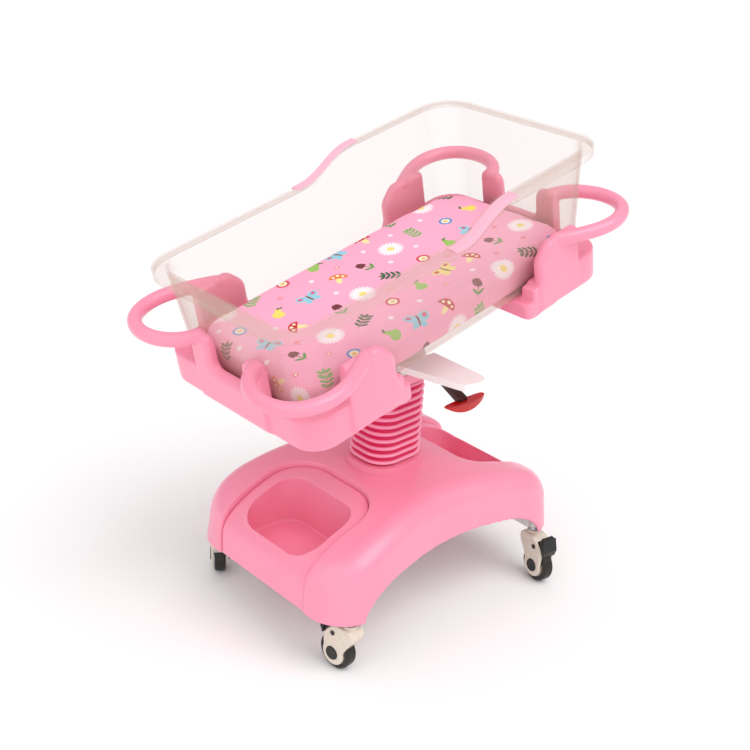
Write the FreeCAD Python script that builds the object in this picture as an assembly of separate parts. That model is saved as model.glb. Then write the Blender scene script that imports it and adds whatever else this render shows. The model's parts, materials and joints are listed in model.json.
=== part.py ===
import FreeCAD, Part
import math
import os

# Hospital bassinet on a lifting, tilting column. Millimetres, +Z up, +X towards the head end.
# The origin is on the floor, under the middle of the overall length. The cot (cradles, tub,
# mattress) is drawn level above the column and then turned about the tilt pivot.

V = FreeCAD.Vector
X_AXIS = V(1, 0, 0)
Y_AXIS = V(0, 1, 0)
Z_AXIS = V(0, 0, 1)

# ---- driving dimensions -------------------------------------------------------------------
# cot attitude
tilt_deg = 13.0              # head-up attitude of the cot on its pivot
pivot_z = 590.0              # height of the tilt pivot above the floor

# tub
rim_length = 800.0
rim_width = 436.0
rim_corner_r = 73.0
rim_flange = 24.0            # flat flange outside the wall
rim_thickness = 3.0
rim_skirt = 15.0             # downturned edge of the flange
tub_wall = 3.0
tub_floor_z = 623.0          # underside of the tub
tub_low_rim_z = 828.0        # rim over the foot half
tub_high_rim_z = 868.0       # rim over the head half
rim_step_start_x = -17.0
rim_step_end_x = 125.0
tub_taper = 15.0             # each wall leans in by this from rim to floor
tub_floor_edge_r = 12.0

# rim trim
trim_wall = 2.2
trim_drop = 20.0
trim_gap = 0.15              # soft trim is stretched over the flange with this clearance
trim_end_margin = 12.0       # trim runs past the sloping stretch at both ends
trim_inner_gap = 5.0         # bare flange between the trim and the tub's wall

# mattress
mattress_thickness = 62.0
mattress_side_gap = 5.0
mattress_corner_r = 70.0
mattress_edge_r = 14.0
mattress_lift = 0.4
mattress_fit_z = 8.0         # the gap to the tub's walls is taken this far over the floor

# end cradles
cradle_end_inset = 5.0       # the cradles' end faces lie this far inside the rim's ends
cradle_side_overhang = 3.0   # and their side faces this far outside its long sides
cradle_corner_r = 62.0
cradle_bottom_z = 590.0
cradle_inner_x = 188.0       # where each cradle's side legs end, towards mid-length
cradle_lip = 16.0            # low lip that runs on past each side leg
cradle_lip_inset = 5.0
cradle_lip_z = 650.0
cradle_toe = 34.0            # the seat's plate runs on past each side leg by this
cradle_toe_r = 14.0
cradle_wall = 4.0
cradle_tub_gap = 1.5
cradle_seat_gap = 0.3
cradle_bottom_edge_r = 16.0
corner_setback = 8.0         # the wall under each loop is set back from the posts
corner_wall_z = 656.0
saddle_z = 669.0             # the end wall's top edge between its two posts
end_post_inner_y = 34.0      # the ramp up each end post starts here
end_post_outer_y = 97.0
post_top_z = 735.0
side_post_length = 112.0
post_thickness = 25.0
post_shoulder_x = 42.0       # run of the sloping shoulder at each side post
post_shoulder_z = 694.0      # where that shoulder starts
post_edge_r = 11.5           # rounding of the posts' top edges
post_root = 30.0             # the posts reach down into the low walls by this
pocket_skin = 4.0            # between a post's inner face and its pocket

# grab handles, one loop at each corner
loop_z = 725.0               # centre line of the loops
loop_tube_r = 14.0
loop_end_overhang = 45.0     # the centre line's reach past the cradle's end face
loop_side_overhang = 33.0    # and past its side face
loop_end_y = 82.0            # the loop's end in the end post
loop_end_x = 248.0           # the loop's end in the side post
loop_corner_r = 76.0
loop_side_run = 38.0         # run of the slanting part beside a side post
loop_end_run = 26.0          # and beside an end post
loop_end_bulge = 8.0
loop_sink = 12.0             # the loop's ends lie this far inside the cradle's faces

# base cover
base_half_length = 322.0
base_half_width = 230.0
base_waist_half_width = 205.0
base_corner_r = 85.0
base_bottom_z = 117.0
base_crown_z = 287.0
base_shoulder_run = 126.0    # from the crowned top's shoulder to the end
base_shoulder_z = 265.0
base_knee_run = 24.0         # the top rolls down over the end from here
base_knee_z = 220.0
base_end_z = 176.0
base_edge_r = 50.0           # rounding along the long sides
base_side_lean = 10.0        # the long sides lean out by this towards the floor
base_wall = 4.0
arch_z = 187.0               # crown of the arches in the long sides
arch_half_span = 250.0
arch_leg = 48.0              # depth of the arches into the cover, from the waist
tray_half_width = 128.0
tray_inner_x = 112.0
tray_corner_r = 84.0
tray_drop = 12.0             # the trays lie this far under the cover's top
cover_lip = 24.0             # downturned lip of the cover round each tray
tray_end_inset = 4.0
tray_wall = 3.5
tray_gap = 0.4
bowl_inner_margin = 45.0     # tray floor between the bowl and the cover
bowl_outer_margin = 25.0
bowl_side_margin = 27.0
bowl_corner_r = 46.0
bowl_floor_z = 156.0
bowl_wall = 3.0
boss_r = 8.0                 # screw bosses that seat the cover on the frame's rails
boss_x = 92.0
cover_screw_r = 2.5
cover_screw_head = 3.0
cover_screw_grip = 14.0      # the screws' holes reach into the bosses by this
column_cover_gap = 6.0

# base frame
rail_tray_gap = 5.0          # the rails run this far outside the trays
rail_width = 30.0
rail_height = 26.0
rail_top_z = 215.0
cross_height = 26.0          # cross bars at the ends, low down over the casters
cross_width = 40.0
frame_plate = 6.0
frame_plate_half_x = 75.0
socket_r = 12.0

# column
column_outer_x = 84.0
column_outer_y = 64.0
column_wall = 3.0
column_corner_r = 12.0
column_top_z = 438.0
bush_wall = 2.0
bush_height = 40.0
bush_play = 0.3
inner_bottom_z = 276.0
head_plate_z = 502.0         # underside of the column head
head_plate = 8.0
gas_cylinder_r = 14.0
gas_cylinder_wall = 2.0
gas_cylinder_top_z = 430.0
gas_rod_r = 5.0
gas_rod_play = 0.05
piston_z = 278.0

column_bolt_r = 4.0
column_bolt_head = 5.5
column_bolt_x = 58.0
column_bolt_y = 46.0
column_bolt_margin = 12.0    # flange outside the bolts
column_flange = 7.0

# bellows
bellows_x = 140.0
bellows_y = 120.0
bellows_corner_r = 50.0
bellows_groove = 9.0
bellows_wall = 2.0
bellows_bottom_z = 301.0
bellows_top_z = 478.0
bellows_ribs = 11
collar_width = 7.0
cap_wall = 6.0
cap_edge_r = 6.0

# tilt head and cot frame
ear_y = 50.0
ear_thickness = 8.0
ear_gap = 0.5
ear_r = 17.0
tilt_pin_r = 8.0
tilt_pin_play = 0.05
tilt_pin_head = 2.0
tilt_bush_wall = 3.0
head_plate_half_x = 62.0
head_plate_corner_r = 14.0
ear_root = 46.0              # half width of the ears at the plate
beam_half_width = 30.0       # block that carries the palm rest
beam_height = 16.0
bracket_root = 60.0          # half width of the cot frame's ears at its rails
bracket_thickness = 6.0
cot_rail_size = 18.0
cot_rail_half_length = 330.0
cot_cross_x = 250.0
cot_cross_half_width = 150.0
cradle_screw_r = 3.0
cradle_screw_head = 4.0
cradle_screw_y = 125.0

# grip plate and release lever
grip_offset_x = 8.0          # the palm rest sits a little towards the head end
grip_root_half_width = 50.0
grip_tip_half_width = 29.0
grip_tip_y = -226.0
grip_root_y = -62.0
grip_root_z = 530.0
grip_rise_deg = 4.5
grip_thickness = 4.0
grip_lip = 13.0
grip_tip_run = 30.0          # the tongue's tip is rounded over this length
lever_pivot_y = -128.0
lever_pivot_drop = 19.0
lever_pin_r = 3.0
lever_pin_play = 0.05
lever_width = 22.0
lever_side_play = 0.5
lever_eye_r = 8.0
lever_ear = 4.0
paddle_y = -192.0
paddle_z = 466.0             # underside of the paddle at its middle
paddle_half_width = 52.0
paddle_rise = 16.0           # the paddle's tips curl up by this
paddle_thickness = 15.0
paddle_tip_thickness = 2.0
paddle_depth = 26.0

# casters
caster_inset_x = 56.0        # the swivel axes lie this far inside the base's ends
caster_inset_y = 27.0
caster_height = 119.0
wheel_r = 37.5
wheel_width = 24.0
trail = 27.0
fork_cheek = 5.0
fork_gap = 1.5
fork_edge_r = 3.0
fork_crown_front = 12.0
fork_crown_back = 16.0
fork_boss_r = 13.5
wheel_clearance = 2.5        # between the tyre and the inside of the fork
hub_r = 27.0
axle_r = 4.0
axle_play = 0.05
cap_r = 14.5
cap_thickness = 2.2
cap_chamfer = 1.2
tyre_edge_r = 5.0
hub_rim = 4.0
hub_dish = 6.0
hub_boss_r = 9.0
stem_r = 6.0
stem_length = 46.0
stem_play = 0.05
stem_ring_r = 11.5
stem_sink = 8.0              # the stem reaches into the fork's crown by this
fork_crown_z = 104.0
stem_ring_z = 110.0          # top of the fork's boss, where the stem's ring seats
caster_angles = {"foot_near": 95.0, "foot_far": 53.0, "head_near": 259.0, "head_far": 101.0}
brake_pin_rise = 47.0        # the brake's pin lies this far above the axle
brake_pin_r = 3.0
brake_pin_play = 0.05
brake_eye_r = 7.0
brake_head_gap = 0.2
brake_head = 1.4
pedal_fork_x = 26.5          # the pedal clears the fork's cheeks up to here, behind the axle
pedal_reach = 61.0           # from the swivel axis to the pedal's tip
pedal_tip_half_width = 17.0
pedal_root_half_width = 11.0
pedal_wheel_gap = 6.0

# cutting bodies
past = 60.0                  # a cutting body runs past the solid's faces by this
reach = 1000.0               # a box that trims one side of a solid is this large

# ---- derived values -----------------------------------------------------------------------
tilt = math.radians(tilt_deg)
# the loops' mid-length lies this far from the column, because the cot is tilted
column_x = math.sin(tilt) * (loop_z - pivot_z)
seat_z = tub_floor_z - cradle_seat_gap
cot_rail_z = seat_z - cradle_wall - cot_rail_size
brake_pin_z = wheel_r + brake_pin_rise
rim_half_length = rim_length / 2
rim_half_width = rim_width / 2
opening_half_length = rim_half_length - rim_flange
opening_half_width = rim_half_width - rim_flange
cradle_half_length = rim_half_length - cradle_end_inset
cradle_half_width = rim_half_width + cradle_side_overhang
loop_reach_x = cradle_half_length + loop_end_overhang
loop_reach_y = cradle_half_width + loop_side_overhang
base_shoulder_x = base_half_length - base_shoulder_run
base_knee_x = base_half_length - base_knee_run
bowl_inner_x = tray_inner_x + bowl_inner_margin
bowl_outer_x = base_half_length - bowl_outer_margin
bowl_half_width = tray_half_width - bowl_side_margin
rail_y = tray_half_width + rail_tray_gap + rail_width / 2
bush_seat_r = tilt_pin_r + tilt_pin_play + tilt_bush_wall
caster_x = base_half_length - caster_inset_x
caster_y = base_half_width - caster_inset_y


# ---- helpers ------------------------------------------------------------------------------
def rounded_wire(half_x, half_y, r, z):
    """Closed rounded rectangle, centred on the Z axis."""
    r = min(r, half_x - 0.01, half_y - 0.01)
    k = r * (1 - math.sqrt(0.5))
    edges = []
    corners = ((1, 1), (-1, 1), (-1, -1), (1, -1))
    for i, (sx, sy) in enumerate(corners):
        along_x = V(sx * (half_x - r), sy * half_y, z)
        along_y = V(sx * half_x, sy * (half_y - r), z)
        mid = V(sx * (half_x - k), sy * (half_y - k), z)
        first, last = (along_y, along_x) if sx * sy > 0 else (along_x, along_y)
        edges.append(Part.Arc(first, mid, last).toShape())
        nx, ny = corners[(i + 1) % 4]
        if nx != sx:
            following = V(nx * (half_x - r), ny * half_y, z)
        else:
            following = V(nx * half_x, ny * (half_y - r), z)
        if (following - last).Length > 1e-6:
            edges.append(Part.makeLine(last, following))
    return Part.Wire(edges)


def rounded_prism(half_x, half_y, r, z0, z1):
    return Part.Face(rounded_wire(half_x, half_y, r, z0)).extrude(V(0, 0, z1 - z0))


def box(x0, x1, y0, y1, z0, z1):
    return Part.makeBox(x1 - x0, y1 - y0, z1 - z0, V(x0, y0, z0))


def cylinder(r, start, direction, length):
    return Part.makeCylinder(r, length, start, direction)


def mirrored_y(shape):
    return shape.mirror(V(0, 0, 0), Y_AXIS)


def mirrored_x(shape):
    return shape.mirror(V(0, 0, 0), X_AXIS)


def fused(shapes):
    result = shapes[0]
    for shape in shapes[1:]:
        result = result.fuse(shape)
    return result.removeSplitter()


def spline_edge(points, start_dir=None, end_dir=None):
    curve = Part.BSplineCurve()
    if start_dir is None:
        curve.interpolate(Points=points)
    else:
        curve.interpolate(Points=points, InitialTangent=start_dir, FinalTangent=end_dir)
    return curve.toShape()


def xz_prism(edges, half_y):
    """Extrudes a closed side profile, drawn in the plane y = 0, to both sides."""
    face = Part.Face(Part.Wire(Part.sortEdges(edges)[0]))
    face.translate(V(0, -half_y, 0))
    return face.extrude(V(0, 2 * half_y, 0))


def polygon_prism_xz(points, y0, y1):
    wire = Part.makePolygon([V(x, y0, z) for x, z in points] + [V(points[0][0], y0, points[0][1])])
    return Part.Face(wire).extrude(V(0, y1 - y0, 0))


def polygon_prism_yz(points, x0, x1):
    wire = Part.makePolygon([V(x0, y, z) for y, z in points] + [V(x0, points[0][0], points[0][1])])
    return Part.Face(wire).extrude(V(x1 - x0, 0, 0))


def on_cot(shape):
    """Turns a level cot piece to its attitude, and moves it over the column."""
    turned = shape.copy()
    turned.rotate(V(0, 0, pivot_z), Y_AXIS, -tilt_deg)
    turned.translate(V(column_x, 0, 0))
    return turned


def on_column(shape):
    moved = shape.copy()
    moved.translate(V(column_x, 0, 0))
    return moved


parts = {}


def add(name, shape):
    parts[name] = shape


# ---- tub ----------------------------------------------------------------------------------
def rim_curve(drop, end_x):
    """Edges of the rim's side line, lowered by drop: level, S-shaped step, level."""
    low = V(rim_step_start_x, 0, tub_low_rim_z - drop)
    high = V(rim_step_end_x, 0, tub_high_rim_z - drop)
    step = spline_edge([low, high], V(1, 0, 0), V(1, 0, 0))
    return [
        Part.makeLine(V(-end_x, 0, low.z), low),
        step,
        Part.makeLine(high, V(end_x, 0, high.z)),
    ], low.z, high.z


def rim_band(drop_top, drop_bottom):
    """Everything between two copies of the rim line."""
    upper, upper_low, upper_high = rim_curve(drop_top, rim_length)
    lower, lower_low, lower_high = rim_curve(drop_bottom, rim_length)
    sides = [
        Part.makeLine(V(-rim_length, 0, upper_low), V(-rim_length, 0, lower_low)),
        Part.makeLine(V(rim_length, 0, upper_high), V(rim_length, 0, lower_high)),
    ]
    return xz_prism(upper + lower + sides, rim_width)


def tub_form(inset, floor_z, edge_r):
    """Tapered tub block whose walls are the opening's, moved in by inset."""
    top_z = tub_high_rim_z + 20
    lean = tub_taper * (top_z - floor_z) / (tub_low_rim_z - tub_floor_z)
    floor_half_x = opening_half_length - tub_taper - inset
    floor_half_y = opening_half_width - tub_taper - inset
    corner = rim_corner_r - rim_flange - inset
    bottom = rounded_wire(floor_half_x, floor_half_y, corner, floor_z)
    top = rounded_wire(floor_half_x + lean, floor_half_y + lean, corner + 2, top_z)
    block = Part.makeLoft([bottom, top], True, True)
    floor_edges = [e for e in block.Edges if e.BoundBox.ZMax < floor_z + 0.01]
    return block.makeFillet(edge_r, floor_edges)


def rim_prism(inset):
    """Plan of the rim, moved in by inset, from the tub's floor to well over the rim."""
    return rounded_prism(rim_half_length - inset, rim_half_width - inset, rim_corner_r - inset,
                         tub_floor_z - inset, tub_high_rim_z + past + inset)


def make_tub():
    outer = tub_form(0, tub_floor_z, tub_floor_edge_r)
    inner = tub_form(tub_wall, tub_floor_z + tub_wall, tub_floor_edge_r - tub_wall)
    below_rim = rim_band(0, tub_high_rim_z)
    flange = rim_prism(0).common(rim_band(0, rim_thickness))
    skirt = rim_prism(0).cut(rim_prism(rim_thickness)).common(rim_band(0, rim_skirt))
    shell = outer.common(below_rim).fuse(flange).fuse(skirt)
    return shell.cut(inner).removeSplitter()


def make_trim(side):
    """Soft channel over the flange along the sloping stretch of one long side."""
    x0 = rim_step_start_x - trim_end_margin
    x1 = rim_step_end_x + trim_end_margin
    z0, z1 = tub_floor_z, tub_high_rim_z + past
    outside = rim_half_width + trim_gap + trim_wall
    inside = rim_half_width - rim_thickness - trim_gap - trim_wall
    over = box(x0, x1, opening_half_width + trim_inner_gap, outside, z0, z1)
    over = over.common(rim_band(-trim_gap - trim_wall, -trim_gap))
    outer_leg = box(x0, x1, rim_half_width + trim_gap, outside, z0, z1)
    outer_leg = outer_leg.common(rim_band(-trim_gap - trim_wall, trim_drop))
    under = box(x0, x1, inside, outside, z0, z1)
    under = under.common(rim_band(rim_skirt + trim_gap, trim_drop))
    trim = fused([over, outer_leg, under])
    return trim if side > 0 else mirrored_y(trim)


def make_mattress():
    floor = tub_floor_z + tub_wall
    rise = tub_taper * (mattress_lift + mattress_fit_z) / (tub_low_rim_z - tub_floor_z)
    half_x = opening_half_length - tub_taper - tub_wall + rise - mattress_side_gap
    half_y = opening_half_width - tub_taper - tub_wall + rise - mattress_side_gap
    pad = rounded_prism(half_x, half_y, mattress_corner_r, floor + mattress_lift,
                        floor + mattress_lift + mattress_thickness)
    level = [e for e in pad.Edges if e.BoundBox.ZLength < 0.01]
    return pad.makeFillet(mattress_edge_r, level)


# ---- end cradles --------------------------------------------------------------------------
def loop_points():
    """Plan points of one handle loop's centre line, for the corner at +X, +Y."""
    x, y = loop_reach_x, loop_reach_y
    corner = (1 - math.sqrt(0.5)) * loop_corner_r
    side_y = cradle_half_width - loop_sink
    end_x = cradle_half_length - loop_sink
    return [
        (loop_end_x, side_y), (loop_end_x + loop_side_run, (side_y + y) / 2),
        (x - loop_corner_r, y), (x - corner, y - corner), (x, y - loop_corner_r),
        ((end_x + x) / 2 + loop_end_bulge, loop_end_y + loop_end_run), (end_x, loop_end_y),
    ]


def make_handle():
    """Tube loop for the corner at +X, +Y, with rounded ends that lie in the cradle's posts."""
    points = [V(px, py, loop_z) for px, py in loop_points()]
    path = spline_edge(points)
    direction = path.tangentAt(path.FirstParameter)
    ring = Part.Wire(Part.Circle(points[0], direction, loop_tube_r).toShape())
    tube = Part.Wire(path).makePipeShell([ring], True, True)
    ends = [Part.makeSphere(loop_tube_r, points[0]), Part.makeSphere(loop_tube_r, points[-1])]
    return tube.fuse(ends[0]).fuse(ends[1])


def cradle_outline(setback, z0, z1):
    return rounded_prism(cradle_half_length - setback, cradle_half_width - setback,
                         cradle_corner_r - setback, z0, z1)


def side_post_edges():
    """Side view of one post on a long side: a vertical edge, a sloping shoulder, and a level top."""
    x0 = cradle_inner_x
    x1 = x0 + side_post_length
    x_top = x0 + post_shoulder_x
    foot = corner_wall_z - post_root
    low = V(x0, 0, post_shoulder_z)
    middle = V(x0 + post_shoulder_x * 0.4, 0, post_shoulder_z * 0.35 + post_top_z * 0.65)
    return [
        Part.makeLine(V(x0, 0, foot), low),
        spline_edge([low, middle, V(x_top, 0, post_top_z)], V(0.1, 0, 1), V(1, 0, 0)),
        Part.makeLine(V(x_top, 0, post_top_z), V(x1, 0, post_top_z)),
        Part.makeLine(V(x1, 0, post_top_z), V(x1, 0, foot)),
        Part.makeLine(V(x1, 0, foot), V(x0, 0, foot)),
    ]


def make_side_post():
    """Post at +Y with rounded upper edges, flush with the cradle's face."""
    face = Part.Face(Part.Wire(Part.sortEdges(side_post_edges())[0]))
    face.translate(V(0, cradle_half_width - post_thickness, 0))
    post = face.extrude(V(0, post_thickness, 0))
    level = [e for e in post.Edges if e.BoundBox.YLength < 0.01]
    rounded = [e for e in level if e.BoundBox.ZMax > corner_wall_z
               and e.BoundBox.XMin < cradle_inner_x + side_post_length - 1]
    return post.makeFillet(post_edge_r, rounded)


def end_wall_edges():
    """Top edge of the end wall, seen along X: a level saddle, and a ramp up to each end post."""
    foot = corner_wall_z - post_root
    y0, y1 = end_post_inner_y, end_post_outer_y
    ramp_end = y0 + (y1 - y0) * 0.55
    ramp_middle = y0 + (y1 - y0) * 0.2
    middle_z = (saddle_z + post_top_z) / 2
    edges = [Part.makeLine(V(0, -y0, saddle_z), V(0, y0, saddle_z)),
             Part.makeLine(V(0, -y1, foot), V(0, y1, foot))]
    for s in (-1, 1):
        ramp = [V(0, s * y0, saddle_z), V(0, s * ramp_middle, middle_z),
                V(0, s * ramp_end, post_top_z)]
        edges.append(spline_edge(ramp, V(0, s, 0), V(0, s, 0)))
        edges.append(Part.makeLine(V(0, s * ramp_end, post_top_z), V(0, s * y1, post_top_z)))
        edges.append(Part.makeLine(V(0, s * y1, post_top_z), V(0, s * y1, foot)))
    return edges


def make_end_wall():
    """Upper part of the end wall with rounded top edges."""
    face = Part.Face(Part.Wire(Part.sortEdges(end_wall_edges())[0]))
    face.translate(V(cradle_half_length - post_thickness, 0, 0))
    wall = face.extrude(V(post_thickness, 0, 0))
    rounded = [e for e in wall.Edges if e.BoundBox.XLength < 0.01 and e.BoundBox.ZMin > saddle_z - 1]
    return wall.makeFillet(post_edge_r, rounded)


def make_head_cradle(handles, frame, screws):
    """Moulded end cradle for the head end; the foot cradle is its mirror image."""
    top_z = loop_z + past
    low_z = cradle_bottom_z - past
    outline = cradle_outline(0, cradle_bottom_z, top_z)
    bottom_edges = [e for e in outline.Edges if e.BoundBox.ZMax < cradle_bottom_z + 0.01]
    outline = outline.makeFillet(cradle_bottom_edge_r, bottom_edges)
    # low walls all round, set back at the corners under the loops
    body = outline.common(box(cradle_inner_x, reach, -reach, reach, 0, corner_wall_z))
    post_end = cradle_inner_x + side_post_length
    ring = cradle_outline(-past, low_z, top_z).cut(cradle_outline(corner_setback, low_z, top_z))
    corner_zone = box(post_end, reach, end_post_outer_y, reach, low_z, top_z)
    body = body.cut(ring.common(corner_zone)).cut(ring.common(mirrored_y(corner_zone)))
    inset_form = cradle_outline(cradle_lip_inset, cradle_bottom_z, cradle_lip_z)
    lip = inset_form.common(box(cradle_inner_x - cradle_lip, cradle_inner_x, -reach, reach, 0, top_z))
    toe_half_width = cradle_half_width - cradle_lip_inset
    toe = box(cradle_inner_x - cradle_toe, cradle_inner_x, -toe_half_width, toe_half_width,
              cradle_bottom_z, seat_z)
    upright = [e for e in toe.Edges if e.BoundBox.ZLength > 1]
    toe = toe.makeFillet(cradle_toe_r, [e for e in upright if e.BoundBox.XMax < cradle_inner_x - 1])
    post = make_side_post()
    body = fused([body, lip, toe, make_end_wall(), post, mirrored_y(post)])
    # the well that takes the tub
    body = body.cut(tub_form(-cradle_tub_gap, seat_z, tub_floor_edge_r))
    # hollow underside: one pocket under the seat, one inside each post
    t = cradle_wall
    under = cradle_outline(corner_setback + 3 * t, low_z, seat_z - t)
    body = body.cut(under.common(box(cradle_inner_x - cradle_toe + t, reach, -reach, reach, 0, top_z)))
    pocket_top = loop_z - loop_tube_r - t
    for s in (-1, 1):
        inner_y = cradle_half_width - post_thickness + pocket_skin
        y0, y1 = sorted((s * inner_y, s * (cradle_half_width - t)))
        body = body.cut(box(cradle_inner_x + post_shoulder_x, post_end - t, y0, y1, low_z, pocket_top))
    for handle in handles:
        body = body.cut(handle)
    return body.cut(frame).cut(screws).removeSplitter()


# ---- base ---------------------------------------------------------------------------------
def base_plan(inset, z0, z1):
    """Hourglass plan of the base, moved in by inset."""
    hx = base_half_length - inset
    hy = base_half_width - inset
    waist = base_waist_half_width - inset
    r = base_corner_r - inset
    k = r * (1 - math.sqrt(0.5))
    edges = []
    for s in (-1, 1):
        flank = [V(-(hx - r), s * hy, z0), V(0, s * waist, z0), V(hx - r, s * hy, z0)]
        edges.append(spline_edge(flank, X_AXIS, X_AXIS))
        edges.append(Part.makeLine(V(s * hx, -(hy - r), z0), V(s * hx, hy - r, z0)))
        for t in (-1, 1):
            edges.append(Part.Arc(V(s * (hx - r), t * hy, z0), V(s * (hx - k), t * (hy - k), z0),
                                  V(s * hx, t * (hy - r), z0)).toShape())
    face = Part.Face(Part.Wire(Part.sortEdges(edges)[0]))
    return face.extrude(V(0, 0, z1 - z0))


def base_top_edge(inset):
    """Top line of the base, from its middle: crown at the column, shoulder, knee, and rolled end."""
    points = [V(0, 0, base_crown_z), V(base_shoulder_x, 0, base_shoulder_z),
              V(base_knee_x - inset, 0, base_knee_z), V(base_half_length - inset, 0, base_end_z)]
    return spline_edge(points, V(1, 0, 0), V(0.1, 0, -1))


def base_side_form(inset, drop, bottom_z):
    """Side view of the base, with its top line lowered by drop."""
    hx = base_half_length - inset
    line = base_top_edge(inset)
    line.translate(V(0, 0, -drop))
    edges = [line, mirrored_x(line), Part.makeLine(V(-hx, 0, bottom_z), V(hx, 0, bottom_z))]
    for s in (-1, 1):
        edges.append(Part.makeLine(V(s * hx, 0, base_end_z - drop), V(s * hx, 0, bottom_z)))
    return xz_prism(edges, reach)


def base_top_z(x):
    """Height of the base's top line over the floor at x."""
    line = base_top_edge(0).Curve
    low, high = line.FirstParameter, line.LastParameter
    for _ in range(40):
        middle = (low + high) / 2
        if line.value(middle).x < abs(x):
            low = middle
        else:
            high = middle
    return line.value(low).z


def base_width_at(x, inset):
    """Half width of the hourglass plan at x, with its rounded corners."""
    r = base_corner_r - inset
    straight = base_half_length - base_corner_r
    past = abs(x) - straight
    if past > 0:
        return base_half_width - base_corner_r + math.sqrt(max(r * r - past * past, 0))
    t = abs(x) / straight
    flare = (base_half_width - base_waist_half_width) * t * t * (3 - 2 * t)
    return base_waist_half_width + flare - inset


def base_section(x, inset, bottom_z):
    """Cross section of the base at x: level top, rounded long edges, and sides that lean out."""
    w = base_width_at(x, inset)
    top = base_top_z(x) - inset
    r = min(base_edge_r - inset, (top - base_bottom_z) * 0.8)
    side = w - base_side_lean
    k = r * (1 - math.sqrt(0.5))
    edges = [Part.makeLine(V(x, -w, bottom_z), V(x, w, bottom_z)),
             Part.makeLine(V(x, side - r, top), V(x, r - side, top))]
    for s in (-1, 1):
        if bottom_z < base_bottom_z:
            edges.append(Part.makeLine(V(x, s * w, bottom_z), V(x, s * w, base_bottom_z)))
        edges.append(Part.makeLine(V(x, s * w, base_bottom_z), V(x, s * side, top - r)))
        edges.append(Part.Arc(V(x, s * side, top - r), V(x, s * (side - k), top - k),
                              V(x, s * (side - r), top)).toShape())
    return Part.Wire(Part.sortEdges(edges)[0])


def base_form(inset, bottom_z):
    """Outer form of the base, moved in by inset: lofted along its length, round at all four corners."""
    r = base_corner_r - inset
    straight = base_half_length - base_corner_r
    places = [straight * i / 4 for i in range(5)]
    places += [straight + r * math.sin(math.radians(a)) for a in (20, 39, 54, 68, 86)]
    places = [-x for x in places[:0:-1]] + places
    return Part.makeLoft([base_section(x, inset, bottom_z) for x in places], True, False)


def arch_prism():
    """The arched opening through the long sides."""
    span = arch_half_span
    foot = base_bottom_z - past
    rise = arch_z - base_bottom_z
    right = [V(0, 0, arch_z), V(span * 0.5, 0, arch_z - rise * 0.06),
             V(span * 0.8, 0, arch_z - rise * 0.29), V(span, 0, base_bottom_z)]
    edges = [spline_edge(right, V(1, 0, 0), V(0.3, 0, -1)),
             spline_edge([V(-p.x, 0, p.z) for p in right], V(-1, 0, 0), V(-0.3, 0, -1)),
             Part.makeLine(V(-span, 0, foot), V(span, 0, foot))]
    for s in (-1, 1):
        edges.append(Part.makeLine(V(s * span, 0, base_bottom_z), V(s * span, 0, foot)))
    return xz_prism(edges, reach)


def tray_zone(side_gap):
    """Plan of one tray (head end), moved in by side_gap: straight flanks, and a rounded inner end."""
    x0 = tray_inner_x + side_gap
    half = base_half_length
    zone = rounded_prism(half, tray_half_width - side_gap, tray_corner_r - side_gap,
                         base_bottom_z - past, base_crown_z + past)
    zone.translate(V(x0 + half, 0, 0))
    return zone


def tray_form(inset, drop, bottom_z):
    form = base_plan(inset, bottom_z, base_crown_z)
    return form.common(base_side_form(inset, drop, bottom_z))


def cover_screw_places():
    return [(s * boss_x, t * rail_y) for s in (-1, 1) for t in (-1, 1)]


def make_base_cover():
    outer = base_form(0, base_bottom_z)
    inner = base_form(base_wall, base_bottom_z - past)
    shell = outer.cut(inner)
    # lip that turns down round the tray
    lip = outer.common(tray_zone(-base_wall)).cut(base_form(cover_lip, base_bottom_z - past))
    shell = fused([shell, lip, mirrored_x(lip)])
    # the long sides are cut by the arches
    leg_in = base_waist_half_width - arch_leg
    side_arch = arch_prism().common(box(-reach, reach, leg_in, reach, 0, reach))
    shell = shell.cut(side_arch).cut(mirrored_y(side_arch))
    # openings for the two trays and the column
    zone = tray_zone(0)
    shell = shell.cut(zone).cut(mirrored_x(zone))
    gap = column_cover_gap
    shell = shell.cut(rounded_prism(column_outer_x / 2 + gap, column_outer_y / 2 + gap,
                                    column_corner_r + gap, rail_top_z, base_crown_z + past))
    bosses = []
    for x, y in cover_screw_places():
        seat = V(x, y, rail_top_z)
        boss = cylinder(boss_r, seat, Z_AXIS, base_crown_z - rail_top_z).common(inner)
        bosses.append(boss.cut(cylinder(cover_screw_r, seat, Z_AXIS, cover_screw_grip)))
    return fused([shell] + bosses)


def bowl_block(inset, z0, z1):
    half = (bowl_outer_x - bowl_inner_x) / 2 - inset
    block = rounded_prism(half, bowl_half_width - inset, bowl_corner_r - inset, z0, z1)
    block.translate(V((bowl_outer_x + bowl_inner_x) / 2, 0, 0))
    return block


def make_head_tray():
    zone = tray_zone(tray_gap)
    skin = tray_form(tray_end_inset, tray_drop, base_bottom_z)
    hollow = tray_form(tray_end_inset + tray_wall, tray_drop + tray_wall, base_bottom_z - past)
    panel = skin.cut(hollow).common(zone)
    # flanges that drop beside the cover's ridges
    flange = skin.common(zone).cut(tray_zone(tray_gap + tray_wall))
    flange = flange.common(box(0, reach, -reach, reach, rail_top_z - rail_height, reach))
    bowl = bowl_block(-bowl_wall, bowl_floor_z - bowl_wall, base_crown_z).common(skin)
    body = fused([panel, flange, bowl])
    return body.cut(bowl_block(0, bowl_floor_z, base_crown_z + past)).removeSplitter()


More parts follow.
